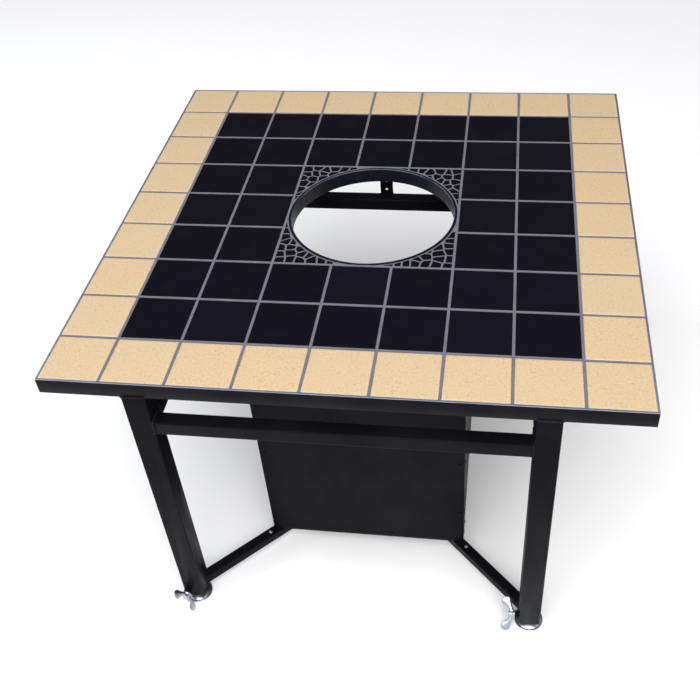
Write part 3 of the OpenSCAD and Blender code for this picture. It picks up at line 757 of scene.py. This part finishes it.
# steel frame: the CAD shapes with eased edges
steel = {"edge": 0.7 * mm, "tube": 0.35 * mm, "strap": 0.25 * mm}
for side in ("front", "back", "left", "right"):
    softened("edge_" + side, "edgeAngle" + side.title(), "table", "frame_paint", "edge_paint",
             steel["edge"])
tubes = ["rail_front", "rail_back", "rail_left", "rail_right", "cross_bar_front", "cross_bar_back",
         "lower_bar_front", "lower_bar_back", "lower_bar_left", "lower_bar_right", "tab_front", "tab_back"]
tubes += ["leg_" + corner for corner in corners] + ["brace_" + corner for corner in corners]
for node in tubes:
    name = "".join(word.title() if k else word for k, word in enumerate(node.split("_")))
    softened(node, name, "table", "frame_paint", "frame_paint", steel["tube"])
for node, name in (("box_corner_angles", "boxCornerAngles"), ("box_hangers", "boxHangers")):
    softened(node, name, "table", "frame_paint", "frame_paint", steel["strap"], 1)
print("steel frame eased")

weld = {
    "wide": 2.3 * mm,
    "flat": 1.6 * mm,
    "spacing": 1.9 * mm,
    "inset": 1.5 * mm,  # free of bead at each end of a run
    "sink": 0.6 * mm,
    "seed": 9,
}


def rippleShape():
    bm = bmesh.new()
    bmesh.ops.create_icosphere(bm, subdivisions=1, radius=1)
    for vert in bm.verts:
        vert.co = Vector((vert.co.x * weld["wide"], vert.co.y * weld["wide"], vert.co.z * weld["flat"]))
    return meshOf(bm, "ripple")


def run(bm, start, end):
    bm.edges.new((bm.verts.new(start), bm.verts.new(end)))


def roundSection(bm, node, axis, upper):  # a bead round a tube, at its upper or lower end
    low, high = [end.copy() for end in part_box(node)]
    low[axis] = high[axis] = high[axis] - weld["sink"] if upper else low[axis] + weld["sink"]
    a, b = [k for k in range(3) if k != axis]
    points = []
    for sideA, sideB in ((low, low), (high, low), (high, high), (low, high)):
        point = low.copy()
        point[a], point[b] = sideA[a], sideB[b]
        points.append(point)
    for start, end in zip(points, points[1:] + points[:1]):
        way = (end - start).normalized() * weld["inset"]
        run(bm, start + way, end - way)


def braceWelds(bm, corner):  # along both faces of the leg that the brace runs into
    signX, signY = corners[corner]
    low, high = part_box("brace_" + corner)
    legLow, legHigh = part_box("leg_" + corner)
    x = legLow.x if signX > 0 else legHigh.x
    y = legLow.y if signY > 0 else legHigh.y
    half = (high.z - low.z) * math.sqrt(0.5)
    for endX, endY in ((x + signX * half, y), (x, y + signY * half)):
        for z in (low.z, high.z):
            run(bm, (x, y, z), (endX, endY, z))
        run(bm, (endX, endY, low.z), (endX, endY, high.z))


def weldPaths():
    bm = bmesh.new()
    for corner in corners:
        roundSection(bm, "leg_" + corner, 2, True)
    for node in ("rail_front", "rail_back", "cross_bar_front", "cross_bar_back"):
        for upper in (False, True):
            roundSection(bm, node, 0, upper)
    for node in ("rail_left", "rail_right", "lower_bar_left", "lower_bar_right"):
        for upper in (False, True):
            roundSection(bm, node, 1, upper)
    for corner in corners:
        braceWelds(bm, corner)
    for side, end in (("front", 0), ("back", 1)):
        low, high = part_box("tab_" + side)
        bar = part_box("cross_bar_" + side)
        for x in (low.x, high.x):
            run(bm, (x, bar[end].y, low.z + 2 * mm), (x, bar[end].y, bar[1].z - 2 * mm))
    return meshOf(bm, "welds")


ripple = addMesh("ripple", rippleShape(), None)
bead = weldTree()
piece = addMesh("weldBeads", weldPaths(), None, None)
runTree(piece, bead, Ripple=ripple, Spacing=weld["spacing"], Seed=weld["seed"], Material=finishes["weld"])
give(piece, "table", "frame_paint")
bpy.data.objects.remove(ripple)
print("welds laid")

# sheet-metal box: panels with the slight waves of thin sheet
panel = {"cells": 60, "wave": 0.5 * mm, "edge": 0.35 * mm}


def wavySheet(node, name):
    low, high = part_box(node)
    size = high - low
    thin = min(range(3), key=lambda k: size[k])
    a, b = [k for k in range(3) if k != thin]
    bm = bmesh.new()
    n = panel["cells"]
    faces = []
    for value in (low[thin], high[thin]):
        grid = []
        for i in range(n + 1):
            row = []
            for j in range(n + 1):
                point = Vector((0, 0, 0))
                point[a], point[b] = low[a] + size[a] * i / n, low[b] + size[b] * j / n
                free = min(1, 32 * (i / n) * (1 - i / n) * (j / n) * (1 - j / n))  # 0 at the edges
                wave = noise.noise(point * 7 + Vector((thin * 9, 3, 1)))
                point[thin] = value + free * panel["wave"] * wave
                row.append(bm.verts.new(point))
            grid.append(row)
        faces.append(grid)
    for grid in faces:
        for i in range(n):
            for j in range(n):
                bm.faces.new((grid[i][j], grid[i + 1][j], grid[i + 1][j + 1], grid[i][j + 1]))
    first, second = faces
    for i in range(n):
        for j in (0, n):
            bm.faces.new((first[i][j], first[i + 1][j], second[i + 1][j], second[i][j]))
            bm.faces.new((first[j][i], first[j][i + 1], second[j][i + 1], second[j][i]))
    bmesh.ops.recalc_face_normals(bm, faces=bm.faces)
    piece = addMesh(name, meshOf(bm, name), "sheet_paint")
    return give(eased(piece, panel["edge"], 2, 60), "table", "sheet_paint", node)


for side in ("front", "left", "right"):
    wavySheet(f"box_{side}_panel", f"box{side.title()}Panel")

fasteners = fastenerTree()


axes = [Vector(way).normalized() for way in ((1, 0, 0), (0, 1, 0), (0, 0, 1), (1, 1, 0), (1, -1, 0))]


def headPlaces(node):  # each fastener's point under its head, and the way that the head faces
    places = []
    bm = merged(node)
    for island in islands(bm.verts):
        points = [vert.co for vert in island]
        lowest = Vector([min(point[k] for point in points) for k in range(3)])
        highest = Vector([max(point[k] for point in points) for k in range(3)])
        centre = (lowest + highest) / 2
        fits = []
        for way in axes:  # the fastener is slimmest round its own axis
            heights = [(point - centre).dot(way) for point in points]
            radii = [(point - centre - way * height).length for point, height in zip(points, heights)]
            fits.append((max(radii), way, radii, heights))
        widest, way, radii, heights = min(fits, key=lambda fit: fit[0])
        headHeights = [height for radius, height in zip(radii, heights) if radius > widest - 0.01 * mm]
        side = 1 if sum(headHeights) > 0 else -1
        under = min(side * height for height in headHeights)
        places.append((centre + way * side * under, way * side))
    bm.free()
    return places


def fastened(name, node, shape, finish, slot, seed):
    mesh = bpy.data.meshes.new(name)
    places = headPlaces(node)
    mesh.from_pydata([place for place, way in places], [], [])
    ways = mesh.attributes.new("way", "FLOAT_VECTOR", "POINT")
    ways.data.foreach_set("vector", [part for place, way in places for part in way])
    model = addMesh(name + "Shape", shape, None)
    piece = addMesh(name, mesh, None, None)
    runTree(piece, fasteners, Fastener=model, Seed=seed, Material=finishes[finish])
    bpy.data.objects.remove(model)
    return give(piece, "table", slot, node)


def rivetShape(grip, head=3.4 * mm, high=1.3 * mm, shank=1.6 * mm):
    steps = 6
    angles = [math.pi / 2 * k / steps for k in range(steps)]
    dome = [(head * math.cos(a), high * (0.25 + 0.75 * math.sin(a))) for a in angles]
    profile = [(0, -grip), (shank, -grip), (shank, 0), (head - 0.2 * mm, 0)] + dome
    profile += [(shank * 0.8, high), (shank * 0.6, high - 0.3 * mm), (0, high - 0.3 * mm)]
    return lathe(profile, 20, "rivetShape")


def crossScrew(grip, head=4 * mm, high=2.4 * mm, shank=2 * mm, threadStep=0.7 * mm, point=3 * mm):
    profile = [(0, -grip), (shank * 0.3, -grip), (shank, -grip + point)]
    turns = int((grip - point - mm) / threadStep)
    for k in range(turns):
        z = -grip + point + k * threadStep
        profile += [(shank * 0.78, z + threadStep / 2), (shank, z + threadStep)]
    profile += [(shank, 0), (head, 0), (head, high * 0.4), (head * 0.86, high * 0.78)]
    profile += [(head * 0.6, high * 0.97), (head * 0.35, high), (0, high)]
    bm = bmesh.new()
    bm.from_mesh(lathe(profile, 24, "crossScrew"))
    cut = bmesh.new()
    slot = (head * 1.1, head * 0.24)
    for long, wide in (slot, slot[::-1]):
        made = bmesh.ops.create_cube(cut, size=1)["verts"]
        for vert in made:
            vert.co = Vector((vert.co.x * long, vert.co.y * wide, high + vert.co.z * high))
    body = addMesh("crossBody", meshOf(bm, "crossBody"), None)
    cutter = addMesh("crossCutter", meshOf(cut, "crossCutter"), None)
    hole = body.modifiers.new("recess", "BOOLEAN")
    hole.operation, hole.object, hole.use_self = "DIFFERENCE", cutter, True
    mesh = settle(body).data.copy()
    bpy.data.objects.remove(body)
    bpy.data.objects.remove(cutter)
    return mesh


grip = {"sheet": 2.4 * mm, "brace": 5 * mm, "screw": 14 * mm}
fastened("boxRivets", "box_rivets", rivetShape(grip["sheet"]), "sheet_paint", "frame_paint", 1)
fastened("braceRivets", "brace_rivets", rivetShape(grip["brace"]), "screw_steel", "screw_steel", 2)
fastened("boardScrews", "board_screws", crossScrew(grip["screw"]), "screw_steel", "screw_steel", 3)
fastened("tabScrews", "tab_screws", crossScrew(grip["screw"]), "screw_steel", "screw_steel", 4)
print("fasteners placed")

thread = {
    "steps": 28,  # round one turn
    "deep": 0.55,  # of a turn's height
    "shape": ((0, 0), (0.2, 0), (0.5, 1), (0.7, 1)),  # share of a turn, share of the depth
    "slack": 0.02 * mm,
    "stemPitch": 1.75 * mm,
    "screwPitch": 1.25 * mm,
}


def threadedRod(radius, pitchLength, low, high, name):  # a true helix, with its crest and root
    bm = bmesh.new()
    steps = thread["steps"]
    depth = thread["deep"] * pitchLength
    count = int((high - low) / pitchLength)
    columns = []
    for k in range(steps + 1):
        angle = 2 * math.pi * k / steps
        column = []
        for turn in range(count + 2):
            for share, cut in thread["shape"]:
                z = low + (turn - 1 + share + k / steps) * pitchLength
                r = radius - depth * (cut if low <= z <= high else 1)
                z = max(low, min(high, z))
                column.append(bm.verts.new((r * math.cos(angle), r * math.sin(angle), z)))
        columns.append(column)
    for left, right in zip(columns, columns[1:]):
        for k in range(len(left) - 1):
            bm.faces.new((left[k], right[k], right[k + 1], left[k + 1]))
    for end in (0, -1):
        middle = bm.verts.new((0, 0, low if end == 0 else high))
        for left, right in zip(columns, columns[1:]):
            bm.faces.new((middle, left[end], right[end]))
    bmesh.ops.remove_doubles(bm, verts=bm.verts, dist=1e-7)
    bmesh.ops.dissolve_degenerate(bm, edges=bm.edges, dist=1e-8)
    bmesh.ops.recalc_face_normals(bm, faces=bm.faces)
    return meshOf(bm, name)


pad = {"hub": 10 * mm, "bore": 6.05 * mm, "round": 1.2 * mm, "turns": 72}


def footPad(low, high, name):  # a pressed dome with a rolled rim, on a turned hub
    radius = (high.x - low.x) / 2
    tall = high.z - low.z
    hub, bore = pad["hub"], pad["bore"]
    rim = [(0, 0), (radius - 1.2 * mm, 0), (radius, 0.5 * mm), (radius, 2.4 * mm), (radius - mm, 3.1 * mm),
           (radius - 3 * mm, 2.9 * mm), (radius - 5 * mm, 3.9 * mm)]
    neck = [(hub + 5 * mm, 5.9 * mm), (hub + 1.6 * mm, 7.4 * mm), (hub, 8.6 * mm),
            (hub, tall - 0.8 * mm), (hub - 0.8 * mm, tall)]
    recess = [(bore, tall), (bore, tall - mm), (0, tall - mm)]
    mesh = lathe(rounded(rim + neck + recess, pad["round"], 3), pad["turns"], name)
    return movedTo(mesh, Matrix.Translation(((low.x + high.x) / 2, (low.y + high.y) / 2, low.z)))


wing = {
    "reach": 30 * mm,
    "lobe": 8.5 * mm,  # half the lobe's width
    "lobeThick": 1.7 * mm,
    "arm": 5.2 * mm,
    "armThick": 2.9 * mm,
    "waist": 1.3 * mm,
    "sag": 1.6 * mm,
    "hub": 7 * mm,
    "hubHigh": 11 * mm,
    "balls": 15,  # run together into one lobe
    "voxel": 0.55 * mm,
    "smooth": 6,
    "screw": 4 * mm,
    "leanLeft": -59,  # degrees, of the wings on the left legs
    "leanRight": 46,
}


def castWings(name):  # hub and two lobes flowing into each other, local +Z out of the leg
    bm = bmesh.new()
    hub, hubHigh = wing["hub"], wing["hubHigh"]
    hubMesh = lathe([(0, 0), (hub, 0), (hub, 2.4 * mm), (hub - 1.4 * mm, 4 * mm),
                     (hub - 2 * mm, hubHigh), (0, hubHigh + 0.2 * mm)], 32, "hub")
    bm.from_mesh(hubMesh)
    bpy.data.meshes.remove(hubMesh)
    for side in (-1, 1):
        lobe = Vector((side * (wing["reach"] - wing["lobe"]), 0, hubHigh + wing["lobe"] / 2))
        root = Vector((side * 3 * mm, 0, hubHigh / 2))
        for k in range(wing["balls"]):
            t = k / (wing["balls"] - 1)
            bow = math.sin(math.pi * t)
            middle = root.lerp(lobe, t) + Vector((0, 0, -wing["sag"] * bow))
            wide = wing["arm"] + (wing["lobe"] - wing["arm"]) * t ** 2.2 - wing["waist"] * bow
            thick = wing["armThick"] + (wing["lobeThick"] - wing["armThick"]) * t + 0.35 * mm * bow
            made = bmesh.ops.create_uvsphere(bm, u_segments=24, v_segments=16, radius=1)["verts"]
            for vert in made:
                ball = vert.co
                vert.co = middle + Vector((ball.x * wide, ball.y * thick, ball.z * wide))
    piece = addMesh(name, meshOf(bm, name), "zinc")
    remesh = piece.modifiers.new("cast", "REMESH")
    remesh.mode = "VOXEL"
    remesh.voxel_size = wing["voxel"]
    smooth = piece.modifiers.new("smooth", "SMOOTH")
    smooth.factor = 0.5
    smooth.iterations = wing["smooth"]
    return settle(piece, math.radians(60))


def makeFoot(corner, words):
    foot = "foot_" + corner
    dome = footPad(*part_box("pad_" + corner), "footPad")
    give(addMesh("footPad" + words, dome, "zinc"), foot, "zinc", "pad_" + corner)
    low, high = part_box("stem_" + corner)
    radius = (high.x - low.x) / 2 - thread["slack"]
    rod = threadedRod(radius, thread["stemPitch"], low.z, high.z, "stem")
    movedTo(rod, Matrix.Translation(((low.x + high.x) / 2, (low.y + high.y) / 2, 0)))
    give(addMesh("footStem" + words, rod, "zinc", threadSmooth), foot, "zinc", "stem_" + corner)


def makeWingScrew(corner, words):
    lock = "lock_" + corner
    joint = next(row for row in frame["joints"] if row["child"] == lock)
    axis, centre = Vector(joint["axis"]), Vector(joint["pos_m"])
    along = max(range(3), key=lambda k: abs(axis[k]))
    low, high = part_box("wing_screw_" + corner)
    tip, out = (low, high) if axis[along] > 0 else (high, low)
    hubStart = abs(out[along] - centre[along]) - wing["hubHigh"] - wing["lobe"] * 1.5
    shankLong = hubStart + abs(tip[along] - centre[along])
    onRight = corners[corner][0] > 0
    across = Vector((0, 0, 1)) if onRight else Vector((1, 0, 0))
    lean = math.radians(wing["leanRight"] if onRight else wing["leanLeft"])
    first = across * math.cos(lean) + axis.cross(across) * math.sin(lean)
    basis = Matrix((first, axis.cross(first), axis)).transposed().to_4x4()
    place = Matrix.Translation(centre + axis * hubStart) @ basis
    shank = threadedRod(wing["screw"] - thread["slack"], thread["screwPitch"], -shankLong, 3 * mm, "shank")
    bm = bmesh.new()
    bm.from_mesh(movedTo(castShape.data.copy(), place))
    bm.from_mesh(movedTo(shank, place))
    give(addMesh("wingScrew" + words, meshOf(bm, "wingScrew"), "zinc", threadSmooth), lock, "zinc",
         "wing_screw_" + corner)


threadSmooth = math.radians(50)
castShape = castWings("castWings")
for corner in corners:
    words = "".join(word.title() for word in corner.split("_"))
    makeFoot(corner, words)
    makeWingScrew(corner, words)
    softened("plug_" + corner, "endPlug" + words, "table", "plug_plastic", "plug_plastic", 0.5 * mm)
bpy.data.objects.remove(castShape)

softened("lock_nuts", "lockNuts", "table", "frame_paint", "frame_paint", 0.6 * mm)
softened("brace_plugs", "bracePlugs", "table", "plug_plastic", "plug_plastic", 0.4 * mm)
print("feet made")

studio = {
    "floor": 60.0,
    "pale": (0.93, 0.93, 0.935),
    "sky": (0.95, 0.945, 0.955),
    "patch": (-0.2, 0.85, 0.6),  # the way to the dim patch in the sky
    "patchNear": (0.04, 0.036, 0.045),
    "patchMiddle": (0.034, 0.031, 0.04),
}
bm = bmesh.new()
bmesh.ops.create_grid(bm, x_segments=1, y_segments=1, size=studio["floor"])
floor = addMesh("floor", meshOf(bm, "floor"), None, None)
pale = Finish("paleFloor")
floor.data.materials.append(pale.surface(Base_Color=studio["pale"], Roughness=0.9, Specular_IOR_Level=0.1))


def areaLight(name, place, aim, size, power, colour=(1, 1, 1)):
    data = bpy.data.lights.new(name, "AREA")
    data.shape = "RECTANGLE"
    data.size, data.size_y = size
    data.energy = power
    data.color = colour
    light = bpy.data.objects.new(name, data)
    light.location = place
    light.rotation_euler = (Vector(aim) - Vector(place)).to_track_quat("-Z", "Y").to_euler()
    bpy.context.scene.collection.objects.link(light)


middle = (0, 0, 0.4)
areaLight("keyLight", (0.9, -3.3, 3.3), middle, (2.4, 2.0), 40, (1, 0.985, 0.965))
areaLight("overhead", (0.1, -2.0, 3.6), (0, 0, 0), (3.8, 3.8), 140)
areaLight("leftWindow", (-2.8, 0.6, 1.9), middle, (1.2, 1.6), 22, (0.86, 0.92, 1.0))

world = bpy.data.worlds.new("studio")
bpy.context.scene.world = world
world.use_nodes = True
sky = Sheet(world.node_tree)
background = world.node_tree.nodes["Background"]
way = sky.node("ShaderNodeTexCoord", out="Generated")
# an even pale sky; only reflections see its dim patch, the part that the black glaze mirrors
toPatch = Vector(studio["patch"]).normalized()
near = sky.node("ShaderNodeVectorMath", {"operation": "DOT_PRODUCT"}, {0: way, 1: toPatch}, "Value")
shade = sky.node("ShaderNodeValToRGB", {"stops": [
    (0.0, (*studio["sky"], 1)), (0.52, (*studio["sky"], 1)), (0.74, (*studio["patchNear"], 1)),
    (1.0, (*studio["patchMiddle"], 1))]}, {0: near})
direct = sky.node("ShaderNodeLightPath", out="Is Camera Ray")
seen = sky.node("ShaderNodeMix", {"data_type": "RGBA"}, {0: direct, 6: shade, 7: (*studio["sky"], 1)}, 2)
world.node_tree.links.new(seen.out, background.inputs["Color"])
background.inputs["Strength"].default_value = 1.0
print("studio lit")
